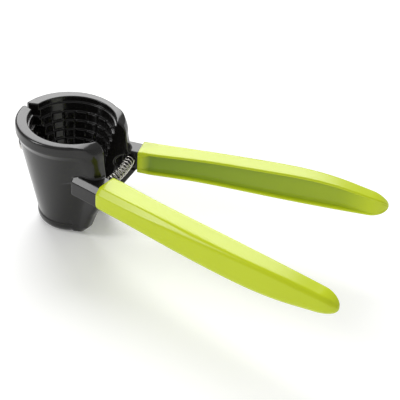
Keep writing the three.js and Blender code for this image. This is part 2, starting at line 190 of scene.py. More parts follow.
def outline_field(outline, u, v):
    """Signed distance from points u, v to a closed outline, negative inside it."""
    best = np.full(u.shape, FAR_AWAY)
    inside = np.zeros(u.shape, bool)
    for (ax, ay), (bx, by) in zip(outline, outline[1:] + outline[:1]):
        ex, ey = bx - ax, by - ay
        length = ex * ex + ey * ey
        if length < NO_LENGTH:
            continue
        t = np.clip(((u - ax) * ex + (v - ay) * ey) / length, 0, 1)
        best = np.minimum(best, (u - ax - t * ex) ** 2 + (v - ay - t * ey) ** 2)
        if ay != by:
            crossing = (ay > v) != (by > v)
            inside ^= crossing & (u < ax + (v - ay) * ex / ey)
    return np.sqrt(best) * np.where(inside, -1, 1)


class Profile:
    """A turned outline's distance field, kept as a fine table of radius and height."""

    STEP = 0.1
    LOWEST = -3.0
    HIGHEST = 62
    WIDEST = 46
    END_MARGIN = 1.001

    def __init__(self, outline):
        whole = outline + [(-r, z) for r, z in reversed(outline)]
        self.radii = np.arange(0, self.WIDEST, self.STEP)
        self.heights = np.arange(self.LOWEST, self.HIGHEST, self.STEP)
        grid = np.meshgrid(self.radii, self.heights, indexing="ij")
        self.table = outline_field(whole, grid[0], grid[1])

    def at(self, radius, height):
        u = np.clip(radius / self.STEP, 0, len(self.radii) - self.END_MARGIN)
        v = np.clip((height - self.LOWEST) / self.STEP, 0, len(self.heights) - self.END_MARGIN)
        i, j = u.astype(int), v.astype(int)
        s, t = u - i, v - j
        near = self.table[i, j] * (1 - t) + self.table[i, j + 1] * t
        far = self.table[i + 1, j] * (1 - t) + self.table[i + 1, j + 1] * t
        return near * (1 - s) + far * s


def quarter(x, y, radius, start, end, steps=8):
    """Points of an arc about x, y, its angles in quarter turns."""
    angles = np.linspace(start, end, steps + 1) * math.pi / 2
    return [(x + radius * math.cos(a), y + radius * math.sin(a)) for a in angles]


# ---------------------------------------------------------------- surface of a field
EDGES = [(a, b) for a in range(8) for b in range(a + 1, 8) if bin(a ^ b).count("1") == 1]
SLAB_LAYERS = 24
SLOPE_REACH = 0.15
LEAST_SLOPE = 0.25
LONGEST_MOVE = 0.4
SMALLEST = 1e-9


def surface(field, low, high, cell):
    """Points and quads of the surface where the field is zero, one point to each cell it crosses."""
    counts = [int(math.ceil((h - l) / cell)) + 1 for l, h in zip(low, high)]
    axes = [l + cell * np.arange(n) for l, n in zip(low, counts)]
    values = np.empty(counts)
    for start in range(0, counts[0], SLAB_LAYERS):
        x, y, z = np.meshgrid(axes[0][start : start + SLAB_LAYERS], axes[1], axes[2], indexing="ij")
        values[start : start + SLAB_LAYERS] = field((x, y, z))
    inside = values < 0
    shape = [n - 1 for n in counts]
    corner = [np.array([c & 1, (c >> 1) & 1, (c >> 2) & 1]) for c in range(8)]
    total = np.zeros(shape, np.int8)
    for c in corner:
        total += inside[c[0] : c[0] + shape[0], c[1] : c[1] + shape[1], c[2] : c[2] + shape[2]]
    cells = np.argwhere((total > 0) & (total < 8))
    at = np.stack([values[tuple((cells + c).T)] for c in corner], axis=1)
    points, hits = np.zeros((len(cells), 3)), np.zeros(len(cells))
    for a, b in EDGES:
        crossed = (at[:, a] < 0) != (at[:, b] < 0)
        t = at[crossed, a] / (at[crossed, a] - at[crossed, b])
        points[crossed] += corner[a] + t[:, None] * (corner[b] - corner[a])
        hits[crossed] += 1
    points = (cells + points / hits[:, None]) * cell + np.array(low)
    number = np.full(shape, -1)
    number[tuple(cells.T)] = np.arange(len(cells))
    quads = []
    for axis in range(3):
        one, two = (axis + 1) % 3, (axis + 2) % 3
        first = np.take(inside, range(counts[axis] - 1), axis)
        second = np.take(inside, range(1, counts[axis]), axis)
        crossed = np.argwhere(first != second)
        crossed = crossed[(crossed[:, one] > 0) & (crossed[:, two] > 0)]
        crossed = crossed[(crossed[:, one] < shape[one]) & (crossed[:, two] < shape[two])]
        step_one, step_two = np.eye(3, dtype=int)[one], np.eye(3, dtype=int)[two]
        ring = [number[tuple((crossed - d).T)] for d in (0, step_one, step_one + step_two, step_two)]
        ring = np.stack(ring, axis=1)
        outward = first[tuple(crossed.T)]
        ring[~outward] = ring[~outward][:, ::-1]
        quads.append(ring)
    return settle(field, points, cell), np.concatenate(quads)


def settle(field, points, cell, rounds=2):
    """Moves the points onto the surface along the field's slope."""
    reach = SLOPE_REACH * cell
    for _ in range(rounds):
        slope = np.empty_like(points)
        for axis in range(3):
            step = np.zeros(3)
            step[axis] = reach
            slope[:, axis] = (field((points + step).T) - field((points - step).T)) / (2 * reach)
        size = np.maximum((slope**2).sum(1), LEAST_SLOPE)
        move = -(field(points.T) / size)[:, None] * slope
        length = np.linalg.norm(move, axis=1)
        points = points + move * np.minimum(1, LONGEST_MOVE * cell / np.maximum(length, SMALLEST))[:, None]
    return points


# ---------------------------------------------------------------- putting things in the frame
def make_piece(name, points, faces, side, materials, smooth=True):
    """A mesh from millimetre points of the shut tool, opened to its half's place. side is 1 or -1."""
    points = np.array(points, float)
    faces = [list(map(int, f)) for f in faces]
    if side < 0:
        points[:, 1] *= -1
        faces = [f[::-1] for f in faces]
    c, s = math.cos(side * half_open), math.sin(side * half_open)
    x, y = points[:, 0] - HINGE_X, points[:, 1].copy()
    points[:, 0], points[:, 1] = x * c - y * s, x * s + y * c
    points = points * MM + np.array([hinge.x, hinge.y, 0])
    return add_mesh(name, points, faces, materials, smooth)


def add_mesh(name, points, faces, materials, smooth=True):
    mesh = bpy.data.meshes.new(name)
    mesh.from_pydata([tuple(p) for p in points], [], faces)
    mesh.validate()
    for material in materials:
        mesh.materials.append(material)
    mesh.polygons.foreach_set("use_smooth", [smooth] * len(mesh.polygons))
    mesh.update()
    piece = bpy.data.objects.new(name, mesh)
    bpy.context.scene.collection.objects.link(piece)
    return piece


# ---------------------------------------------------------------- jaws
collar_bottom = CUP_HEIGHT - COLLAR_HEIGHT
neck_radius = RIM_RADIUS - COLLAR_OVERHANG
cavity_radius = RIM_RADIUS - (HINGE_WALL + FRONT_WALL) / 2
cavity_offset = (HINGE_WALL - FRONT_WALL) / 2
tooth_top = CUP_HEIGHT - FIRST_TOOTH_DEPTH
tooth_pitch = (tooth_top - FLOOR_THICKNESS) / TOOTH_ROWS
tooth_top_radius = cavity_radius - LEDGE_WIDTH
knuckle_top = collar_bottom - COLLAR_OVERHANG
knuckle_pitch = KNUCKLE_HEIGHT + WASHER_ROOM

# The arm takes its section from the bare root of the lever in the frame.
ROOT_SETBACK = 0.3
RING_WIDTH = 0.05
arm_ring = jaw_points[np.abs(jaw_points[:, 0] + HINGE_X - (SLEEVE_START - ROOT_SETBACK)) < RING_WIDTH]
ARM_INNER, ARM_OUTER = arm_ring[:, 1].min(), arm_ring[:, 1].max()
ARM_BOTTOM, ARM_TOP = arm_ring[:, 2].min(), arm_ring[:, 2].max()
ARM_BEVEL = 2.6
ARM_BEVEL_EDGE = 0.4
ARM_EDGE = 0.9
ARM_START = 15.6
ARM_FILLET = 0.8
STUB_LENGTH = 1.8
STUB_INSET = 0.6
STUB_SETBACK = 0.05
WEB_START = 12
FOOT_WEB_BOTTOM = 2.6
FOOT_WEB_HEIGHTS = [1.6, 6.5, 15, 21]
FOOT_WEB_REACH = [14.6, 18.7, 21.7, 24.8]
FOOT_WEB_EDGE = 2.0
FOOT_WEB_FILLET = 2.5
FOOT_WEB_OVERLAP = 0.5
WEB_TO_SLEEVE = 0.8
UPPER_WEB_THICKNESS = 8
UPPER_WEB_RISE = 5
UPPER_WEB_PAST_RIM = [1.6, 0.5, -1.8]
UPPER_WEB_EDGE = 5.0
UPPER_WEB_FILLET = 5.0
UPPER_WEB_OVERLAP = 2
UPPER_WEB_SETBACK = 0.2
RIM_CORNER = 3.2
RIM_CORNER_ROUND = 3
SPLIT_EDGE = 0.7
CAVITY_EDGE = 0.35
KNUCKLE_ROOT_FILLET = 0.5
SPRING_HEIGHT = (ARM_BOTTOM + ARM_TOP) / 2
SPRING_SEAT = ARM_INNER + SPRING_POCKET

outside_profile = Profile(
    [(0, 0)]
    + quarter(BASE_RADIUS - BASE_ROUND, BASE_ROUND, BASE_ROUND, -1, 0)
    + [
        (BASE_RADIUS, BASE_HEIGHT - BASE_STEP_BELOW),
        (BASE_RADIUS - BASE_STEP, BASE_HEIGHT + BASE_STEP_ABOVE),
        (neck_radius, collar_bottom - COLLAR_FOOT_DOWN * COLLAR_OVERHANG),
        (
            neck_radius + COLLAR_KNEE_OUT * COLLAR_OVERHANG,
            collar_bottom - COLLAR_KNEE_DOWN * COLLAR_OVERHANG,
        ),
        (RIM_RADIUS - COLLAR_LIP_INSET, collar_bottom),
        (RIM_RADIUS, collar_bottom + COLLAR_LIP_HEIGHT),
    ]
    + quarter(RIM_RADIUS - COLLAR_ROUND, CUP_HEIGHT - COLLAR_ROUND, COLLAR_ROUND, 0, 1)
    + [(0, CUP_HEIGHT)]
)


def row_radius(row):
    return tooth_top_radius + (CAVITY_FLOOR_RADIUS - tooth_top_radius) * row / TOOTH_ROWS


def cavity_profile(depth):
    """The hollow's outline, each tooth row standing in by the depth at its top."""
    rows = []
    for row in range(TOOTH_ROWS, 0, -1):
        low = tooth_top - row * tooth_pitch
        rows += [(row_radius(row), low), (row_radius(row - 1) - depth, low + tooth_pitch)]
    return Profile(
        [(0, FLOOR_THICKNESS)]
        + rows
        + [
            (tooth_top_radius, tooth_top),
            (tooth_top_radius, CUP_HEIGHT - LEDGE_DEPTH),
            (cavity_radius, CUP_HEIGHT - LEDGE_DEPTH),
            (cavity_radius, CUP_HEIGHT + CAVITY_ABOVE_RIM),
            (0, CUP_HEIGHT + CAVITY_ABOVE_RIM),
        ]
    )


toothed_profile = cavity_profile(TOOTH_DEPTH)
grooved_profile = cavity_profile(GROOVED_TOOTH_DEPTH)


def opened(p):
    """The points turned about the hinge to where the far half holds them in the open tool."""
    c, s = math.cos(half_open), math.sin(half_open)
    x, y = p[0] - HINGE_X, p[1]
    return x * c - y * s + HINGE_X, x * s + y * c, p[2]


def cavity_field(p):
    x, y = p[0] - cavity_offset, p[1]
    radius, angle = np.hypot(x, y), np.arctan2(y, x)
    toothed = toothed_profile.at(radius, p[2])
    step = math.pi / TOOTH_COLUMNS
    off = np.abs((angle / step) % 1 - 0.5) * step * radius - TOOTH_GROOVE / 2
    below = p[2] - (tooth_top + GROOVE_ABOVE)
    grooves = np.maximum(np.maximum(off, below), grooved_profile.at(radius, p[2]))
    return join(toothed, grooves, GROOVE_FILLET)


def split_field(p):
    plane = np.interp(p[0], [-RIM_RADIUS, HINGE_WALL - RIM_RADIUS], [HINGE_EDGE_GAP, SPLIT_HALF_GAP])
    return plane - p[1]


def arm_field(p):
    """The arm, with a wide bevel along its outer top edge and a slimmer stub inside the sleeve."""
    end = SLEEVE_START + STUB_LENGTH
    bar = box_field(p, (ARM_START, ARM_INNER, ARM_BOTTOM), (end, ARM_OUTER, ARM_TOP), ARM_EDGE)
    bevel = (p[1] - ARM_OUTER + p[2] - ARM_TOP + ARM_BEVEL) / math.sqrt(2)
    bar = meet(bar, bevel, ARM_BEVEL_EDGE)
    inside = np.maximum(p[0] - (SLEEVE_START - STUB_SETBACK), 0)
    return bar + np.minimum(inside, STUB_INSET)


def slab_field(p, edge, low, high, thickness, edge_round):
    """An upright slab beside the split, out to a free edge given as heights and x."""
    front = np.interp(p[2], *edge)
    slab = np.maximum(p[0] - front, SPLIT_HALF_GAP - p[1])
    slab = meet(slab, p[1] - SPLIT_HALF_GAP - thickness, edge_round)
    return np.maximum(slab, np.maximum(np.maximum(low - p[2], p[2] - high), WEB_START - p[0]))


def upper_web_field(p):
    """The flare beside the split that carries the lever's load up into the collar."""
    heights = [ARM_TOP, ARM_TOP + UPPER_WEB_RISE, CUP_HEIGHT - COLLAR_ROUND]
    edge = (heights, [RIM_RADIUS + past for past in UPPER_WEB_PAST_RIM])
    low = ARM_TOP - UPPER_WEB_OVERLAP
    high = CUP_HEIGHT - COLLAR_ROUND - UPPER_WEB_SETBACK
    return slab_field(p, edge, low, high, UPPER_WEB_THICKNESS, UPPER_WEB_EDGE)


def foot_web_field(p):
    """The web that runs from under the arm down to the foot."""
    edge = (FOOT_WEB_HEIGHTS + [ARM_BOTTOM], FOOT_WEB_REACH + [SLEEVE_START - WEB_TO_SLEEVE])
    high = ARM_BOTTOM + FOOT_WEB_OVERLAP
    return slab_field(p, edge, FOOT_WEB_BOTTOM, high, WEB_THICKNESS, FOOT_WEB_EDGE)


def rim_corner_field(p):
    """What lies under the slope that the rim's front end is rounded down to."""
    return (p[0] - RIM_RADIUS + p[2] - CUP_HEIGHT + RIM_CORNER) / math.sqrt(2)


def spring_bar_field(p, radius, low, high):
    """A round bar across the arm on the line of the spring."""
    around = np.hypot(p[0] - (SLEEVE_START - SPRING_FROM_SLEEVE), p[2] - SPRING_HEIGHT) - radius
    return meet(around, np.maximum(low - p[1], p[1] - high), SPRING_BAR_EDGE)


def knuckle_field(p, place):
    high = knuckle_top - place * knuckle_pitch
    low = high - KNUCKLE_HEIGHT
    barrel = bar_field(p, HINGE_X, 0, KNUCKLE_RADIUS, low, high, KNUCKLE_EDGE)
    near_end, far_end = (HINGE_X, HINGE_EDGE_GAP, low), (-BASE_RADIUS, KNUCKLE_RADIUS, high)
    return join(barrel, box_field(p, near_end, far_end, KNUCKLE_BLOCK_EDGE), KNUCKLE_FILLET)


def jaw_field(own, other):
    def field(p):
        q = opened(p)
        cup = outside_profile.at(np.hypot(q[0], q[1]), q[2])
        cup = join(cup, foot_web_field(p), FOOT_WEB_FILLET)
        cup = join(cup, upper_web_field(p), UPPER_WEB_FILLET)
        cup = np.maximum(cup, np.maximum(-p[2], p[2] - CUP_HEIGHT))
        cup = meet(cup, rim_corner_field(p), RIM_CORNER_ROUND)
        body = join(meet(cup, split_field(p), SPLIT_EDGE), arm_field(p), ARM_FILLET)
        pocket_radius = SPRING_RADIUS + SPRING_POCKET_ROOM
        pocket = spring_bar_field(p, pocket_radius, ARM_INNER - BAR_OVERRUN, SPRING_SEAT)
        peg_radius = SPRING_RADIUS - SPRING_WIRE - FIT_GAP
        peg_end = ARM_INNER - SPRING_PEG_LENGTH
        peg = spring_bar_field(p, peg_radius, peg_end, SPRING_SEAT + BAR_OVERRUN)
        body = np.minimum(meet(body, -pocket, POCKET_EDGE), peg)
        for place in other:
            high = knuckle_top - place * knuckle_pitch + WASHER_ROOM
            low = high - KNUCKLE_HEIGHT - 2 * WASHER_ROOM
            room = bar_field(p, HINGE_X, 0, KNUCKLE_RADIUS + KNUCKLE_ROOM, low, high, KNUCKLE_ROOM_EDGE)
            body = np.maximum(body, -room)
        for place in own:
            body = join(body, knuckle_field(p, place), KNUCKLE_ROOT_FILLET)
        body = meet(body, -cavity_field(q), CAVITY_EDGE)
        return np.maximum(body, BORE_RADIUS - np.hypot(p[0] - HINGE_X, p[1]))

    return field


# ---------------------------------------------------------------- sleeves
def sleeve_limits():
    """The sleeve's inner y, outer y, low z and high z along x, as smooth curves through the frame's."""
    edges = np.array([e.vertices[:] for e in frame["nodes"]["far_grip"].data.edges])
    start, end = grip_points[edges[:, 0]], grip_points[edges[:, 1]]
    stations = np.linspace(SLEEVE_START + FIRST_SLICE, SLEEVE_END - TIP_LENGTH, SLICES)
    rows = []
    for x in stations - HINGE_X:
        cut = (start[:, 0] < x) != (end[:, 0] < x)
        t = ((x - start[cut, 0]) / (end[cut, 0] - start[cut, 0]))[:, None]
        points = start[cut] + t * (end[cut] - start[cut])
        rows.append((points[:, 1].min(), points[:, 1].max(), points[:, 2].min(), points[:, 2].max()))
    share = (stations - SLEEVE_START) / (SLEEVE_END - SLEEVE_START)
    return [np.polynomial.Polynomial.fit(share, values, CURVE_DEGREE) for values in np.array(rows).T]


# ---------------------------------------------------------------- materials
ENAMEL_BLACK = (0.0065, 0.006, 0.0056, 1)
LIME_SHADES = ((0.50, 0.60, 0.003, 1), (0.53, 0.625, 0.004, 1))
# Painted shade: a darker lime laid on the recess floor in place of the shade that falls there.
LIME_RECESS_PAINTED_SHADE = (0.20, 0.31, 0.004, 1)
STEEL_GREY = (0.60, 0.58, 0.55, 1)
NYLON_CREAM = (0.70, 0.68, 0.61, 1)
FLOOR_WHITE = (0.93, 0.93, 0.93, 1)
PURE_WHITE = (1, 1, 1, 1)


def new_material(name):
    material = bpy.data.materials.new(name)
    material.use_nodes = True
    nodes = material.node_tree.nodes
    return material, nodes, material.node_tree.links, nodes["Principled BSDF"]


def add_noise(nodes, links, scale, detail):
    place = nodes.new("ShaderNodeTexCoord")
    noise = nodes.new("ShaderNodeTexNoise")
    noise.inputs["Scale"].default_value = scale
    noise.inputs["Detail"].default_value = detail
    links.new(place.outputs["Object"], noise.inputs["Vector"])
    return noise


def vary(nodes, links, source, socket, low, high, start=0.3, end=0.7):
    """Drives a socket with a texture, between two values."""
    ramp = nodes.new("ShaderNodeMapRange")
    ramp.inputs["From Min"].default_value = start
    ramp.inputs["From Max"].default_value = end
    ramp.inputs["To Min"].default_value = low
    ramp.inputs["To Max"].default_value = high
    links.new(source, ramp.inputs["Value"])
    links.new(ramp.outputs["Result"], socket)


def add_bump(nodes, links, shader, source, strength, distance):
    bump = nodes.new("ShaderNodeBump")
    bump.inputs["Strength"].default_value = strength
    bump.inputs["Distance"].default_value = distance
    links.new(source, bump.inputs["Height"])
    links.new(bump.outputs["Normal"], shader.inputs["Normal"])


def black_enamel():
    material, nodes, links, shader = new_material("black_enamel")
    shader.inputs["Base Color"].default_value = ENAMEL_BLACK
    shader.inputs["IOR"].default_value = 1.43
    shader.inputs["Coat Weight"].default_value = 0.12
    shader.inputs["Coat Roughness"].default_value = 0.05
    patches = add_noise(nodes, links, scale=90, detail=3)
    vary(nodes, links, patches.outputs["Fac"], shader.inputs["Roughness"], low=0.14, high=0.24)
    grain = add_noise(nodes, links, scale=700, detail=4)
    add_bump(nodes, links, shader, grain.outputs["Fac"], strength=0.10, distance=0.00012)
    return material


def lime_plastic():
    material, nodes, links, shader = new_material("lime_plastic")
    shader.inputs["IOR"].default_value = 1.5
    shader.inputs["Specular IOR Level"].default_value = 0.42
    shader.inputs["Subsurface Weight"].default_value = 0.06
    shader.inputs["Subsurface Radius"].default_value = (0.004, 0.004, 0.001)
    shader.inputs["Subsurface Scale"].default_value = 0.4
    cloud = add_noise(nodes, links, scale=60, detail=2)
    mix = nodes.new("ShaderNodeMix")
    mix.data_type = "RGBA"
    mix.inputs["A"].default_value = LIME_SHADES[0]
    mix.inputs["B"].default_value = LIME_SHADES[1]
    links.new(cloud.outputs["Fac"], mix.inputs["Factor"])
    # Painted shade: the recess attribute mixes the lime towards the darker painted-shade colour on the
    # recess floor.
    recess = nodes.new("ShaderNodeAttribute")
    recess.attribute_name = "recess"
    painted_shade_mix = nodes.new("ShaderNodeMix")
    painted_shade_mix.data_type = "RGBA"
    painted_shade_mix.inputs["B"].default_value = LIME_RECESS_PAINTED_SHADE
    links.new(recess.outputs["Fac"], painted_shade_mix.inputs["Factor"])
    links.new(mix.outputs["Result"], painted_shade_mix.inputs["A"])
    links.new(painted_shade_mix.outputs["Result"], shader.inputs["Base Color"])
    vary(nodes, links, cloud.outputs["Fac"], shader.inputs["Roughness"], low=0.20, high=0.27)
    grain = add_noise(nodes, links, scale=350, detail=2)
    add_bump(nodes, links, shader, grain.outputs["Fac"], strength=0.05, distance=0.0001)
    return material


def drawn_steel(name, smoothest, roughest):
    material, nodes, links, shader = new_material(name)
    shader.inputs["Metallic"].default_value = 1.0
    shader.inputs["Base Color"].default_value = STEEL_GREY
    marks = add_noise(nodes, links, scale=1500, detail=2)
    vary(nodes, links, marks.outputs["Fac"], shader.inputs["Roughness"], smoothest, roughest)
    return material


def natural_nylon():
    material, nodes, links, shader = new_material("natural_nylon")
    shader.inputs["Base Color"].default_value = NYLON_CREAM
    cloud = add_noise(nodes, links, scale=400, detail=2)
    vary(nodes, links, cloud.outputs["Fac"], shader.inputs["Roughness"], low=0.42, high=0.55)
    return material


enamel = black_enamel()
lime = lime_plastic()
wire_steel = drawn_steel("spring_wire", 0.16, 0.30)
turned_steel = drawn_steel("turned_steel", 0.24, 0.38)
nylon = natural_nylon()

# ---------------------------------------------------------------- pieces
CELL = 0.34
GRID_MARGIN = 1


def add_jaw(name, side, own, other):
    low = np.array([HINGE_X - KNUCKLE_RADIUS, -KNUCKLE_RADIUS, 0]) - GRID_MARGIN
    high = np.array([SLEEVE_START + STUB_LENGTH, RIM_RADIUS, CUP_HEIGHT]) + GRID_MARGIN
    points, quads = surface(jaw_field(own, other), low, high, CELL)
    jaw = make_piece(name, points, quads, side, [enamel])
    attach(jaw, "far_half" if side > 0 else "near_half")
    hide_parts("far_jaw" if side > 0 else "near_jaw")


add_jaw("far_half_cup", 1, [0, 2], [1])
add_jaw("near_half_cup", -1, [1], [0, 2])

# Points to each corner's arc and to each side of the sleeve's section.
ARC_POINTS = 6
SIDE_POINTS = 7
SLEEVE_RINGS = 110
RING_CROWDING = 1.7
SLICES = 40
FIRST_SLICE = 0.5
CURVE_DEGREE = 7
CUT_LIMIT = 0.48
LEAST_TANGENT = 1e-3

# The recess starts near the sleeve's root, in mm, and fades out near its tip, in shares of its length.
RECESS_DEPTH = 2.3
RECESS_LIP = 1.1
RECESS_LIP_AT_ROOT = 1.6
RECESS_START, RECESS_FULL = 2.6, 5
RECESS_FADE, RECESS_END = 0.80, 0.97
RECESS_ROUND = 1.6
RECESS_EDGE = 0.35

# The painted shade on the recess floor starts, is full, is still full and ends at these corners of the
# section.
PAINTED_SHADE_CORNERS = (4.5, 4.9, 6.5, 6.9)
# The painted shade grows lighter towards the sleeve's tip by this share of its strength.
PAINTED_SHADE_FADE = 0.55

SOCKET_DEPTH = 2.2
SOCKET_SETBACK = 0.3
ROOT_ROUND = 0.45
ROOT_STEPS = 5
ROOT_HALF_SIZE = 6
TIP_SETBACK = 0.02
SLEEVE_BEVEL = 2.6
SLEEVE_CROWN = 0.35
CORNER_ROUND = 3.2
INNER_CORNER_ROUND = 0.8
SMALLEST_ROUND = 0.15
BEVEL_ROUND, BEVEL_ROUND_GROWTH = 1.4, 4
TOP_ROUND, TOP_ROUND_GROWTH = 1.2, 3


def smooth_step(value, start, end):
    t = np.clip((value - start) / (end - start), 0, 1)
    return t * t * (3 - 2 * t)


def corner_cut(corners, radii, i):
    """A corner, its sides' directions, half the angle between them, and where its rounding ends."""
    n = len(corners)
    before, here, after = (np.array(corners[j % n], float) for j in (i - 1, i, i + 1))
    to_before, to_after = before - here, after - here
    len_before, len_after = np.linalg.norm(to_before), np.linalg.norm(to_after)
    to_before, to_after = to_before / len_before, to_after / len_after
    half_turn = math.acos(np.clip(to_before @ to_after, -1, 1)) / 2
    cut = radii[i % n] / max(math.tan(half_turn), LEAST_TANGENT)
    return here, to_before, to_after, half_turn, min(cut, CUT_LIMIT * len_before, CUT_LIMIT * len_after)


def round_corners(corners, radii):
    """A closed outline with each corner rounded, and the same number of points every time."""
    points = []
    for i in range(len(corners)):
        here, to_before, to_after, half_turn, cut = corner_cut(corners, radii, i)
        first, last = here + to_before * cut, here + to_after * cut
        weight = math.sin(half_turn)
        for t in np.linspace(0, 1, ARC_POINTS):
            a, b, c = (1 - t) ** 2, 2 * t * (1 - t) * weight, t**2
            points.append((a * first + b * here + c * last) / (a + b + c))
        following, back, _, _, next_cut = corner_cut(corners, radii, i + 1)
        end = following + back * next_cut
        for t in np.linspace(0, 1, SIDE_POINTS + 2)[1:-1]:
            points.append(last + (end - last) * t)
    return np.array(points)


def along_sleeve(x):
    """Where x lies on the sleeve, from 0 at its root to 1 at its tip."""
    return (x - SLEEVE_START) / (SLEEVE_END - SLEEVE_START)


def recess_start(x):
    return smooth_step(x, SLEEVE_START + RECESS_START, SLEEVE_START + RECESS_FULL)


def recess_share(x):
    """How much of its full depth the recess has at x."""
    return recess_start(x) * (1 - smooth_step(along_sleeve(x), RECESS_FADE, RECESS_END))


def recess_painted_shade(count, x):
    """Painted shade: 1 on the recess's floor and 0 outside it, for the points of one section, lighter
    towards the tip.
    """
    corner = ARC_POINTS + SIDE_POINTS
    span = [share * corner for share in PAINTED_SHADE_CORNERS]
    floor = np.interp(np.arange(count), span, [0, 1, 1, 0])
    return floor * recess_share(x) * (1 - PAINTED_SHADE_FADE * along_sleeve(x))


def sleeve_section(x, limits, inset=0.0):
    """The sleeve's outline at x, or with an inset the outline of the socket for the arm."""
    along = along_sleeve(x)
    inner, outer, low, high = (curve(along) for curve in limits)
    left = SLEEVE_END - x
    full = math.sqrt(max(1 - max(1 - left / TIP_LENGTH, 0) ** 2, 0))
    middle_y, middle_z = (inner + outer) / 2, (low + high) / 2
    half_y, half_z = (outer - inner) / 2 * full - inset, (high - low) / 2 * full - inset
    depth = RECESS_DEPTH * recess_share(x) * full * (0 if inset else 1)
    lip = min(RECESS_LIP + RECESS_LIP_AT_ROOT * (1 - recess_start(x)), 0.4 * half_z)
    bevel = min(SLEEVE_BEVEL * (1 - 0.5 * smooth_step(along, 0.2, 0.7)), 0.5 * half_y)
    slope = min(0.5 * depth, 0.3 * half_z) + 0.02
    corners = [
        (half_y, -half_z),
        (half_y, half_z - bevel),
        (half_y - bevel, half_z),
        (-half_y, half_z),
        (-half_y, half_z - lip),
        (-half_y + depth, half_z - lip - slope),
        (-half_y + depth, -half_z + lip + slope),
        (-half_y, -half_z + lip),
        (-half_y, -half_z),
    ]
    small = max(full, SMALLEST_ROUND)
    soft = smooth_step(along, 0.1, 0.6)
    bevel_round = BEVEL_ROUND + BEVEL_ROUND_GROWTH * soft
    top_round = TOP_ROUND + TOP_ROUND_GROWTH * soft
    radii = [radius * small for radius in (CORNER_ROUND, bevel_round, top_round, INNER_CORNER_ROUND)]
    radii += [RECESS_EDGE, RECESS_ROUND, RECESS_ROUND, RECESS_EDGE, INNER_CORNER_ROUND * small]
    section = round_corners(corners, radii)
    crown = SLEEVE_CROWN * full
    bulge = np.clip(1 - (section[:, 1] / max(half_z, 0.1)) ** 2, 0, 1)
    outer_side = smooth_step(section[:, 0], 0, half_y)
    section[:, 0] += outer_side * (bulge - 1) * crown
    across, up = middle_y + section[:, 0], middle_z + section[:, 1]
    return np.stack([np.full(len(section), x), across, up], axis=1)


def add_sleeve(name, side):
    limits = sleeve_limits()
    share = np.linspace(0, 1, SLEEVE_RINGS)
    crowded = 1 - (1 - share) ** RING_CROWDING
    stations = SLEEVE_START + (SLEEVE_END - TIP_SETBACK - SLEEVE_START) * crowded
    root_turn = [
        (SLEEVE_START + ROOT_ROUND * (1 - math.sin(a)), ROOT_ROUND * (1 - math.cos(a)))
        for a in np.linspace(math.pi / 2, 0, ROOT_STEPS)[:-1]
    ]
    rings = [sleeve_section(SLEEVE_START + SOCKET_DEPTH, limits, SLEEVE_WALL)]
    rings.append(sleeve_section(SLEEVE_START + SOCKET_SETBACK, limits, SLEEVE_WALL))
    rings.append(sleeve_section(SLEEVE_START, limits, SLEEVE_WALL - SOCKET_SETBACK))
    for x, inset in root_turn:
        ring = sleeve_section(SLEEVE_START + ROOT_ROUND, limits)
        ring[:, 0] = x
        middle = ring.mean(0)
        shrink = 1 - inset / ROOT_HALF_SIZE
        ring[:, 1:] = middle[1:] + (ring[:, 1:] - middle[1:]) * shrink
        rings.append(ring)
    rings += [sleeve_section(x, limits) for x in stations if x > SLEEVE_START + ROOT_ROUND]
    n = len(rings[0])
    points = np.concatenate(rings)
    faces = []
    for r in range(len(rings) - 1):
        for i in range(n):
            a, b = r * n + i, r * n + (i + 1) % n
            faces.append((a, b, b + n, a + n))
    points = np.vstack([points, rings[0].mean(0), rings[-1].mean(0)])
    tip = (len(rings) - 1) * n
    for i in range(n):
        faces.append(((i + 1) % n, i, len(points) - 2))
        faces.append((tip + i, tip + (i + 1) % n, len(points) - 1))
    sleeve = make_piece(name, points, faces, side, [lime])
    # Painted shade for the recess floor, stored as the recess attribute that the lime material reads.
    painted_shade = np.concatenate([recess_painted_shade(n, ring[0, 0]) for ring in rings] + [[0, 0]])
    layer = sleeve.data.attributes.new("recess", "FLOAT", "POINT")
    layer.data.foreach_set("value", painted_shade)
    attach(sleeve, "far_half" if side > 0 else "near_half")
    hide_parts("far_grip" if side > 0 else "near_grip")


add_sleeve("far_sleeve", 1)
add_sleeve("near_sleeve", -1)


# ---------------------------------------------------------------- spring
WIRE_SIDES = 10
STEPS_PER_COIL = 28
END_CROWN = 0.5


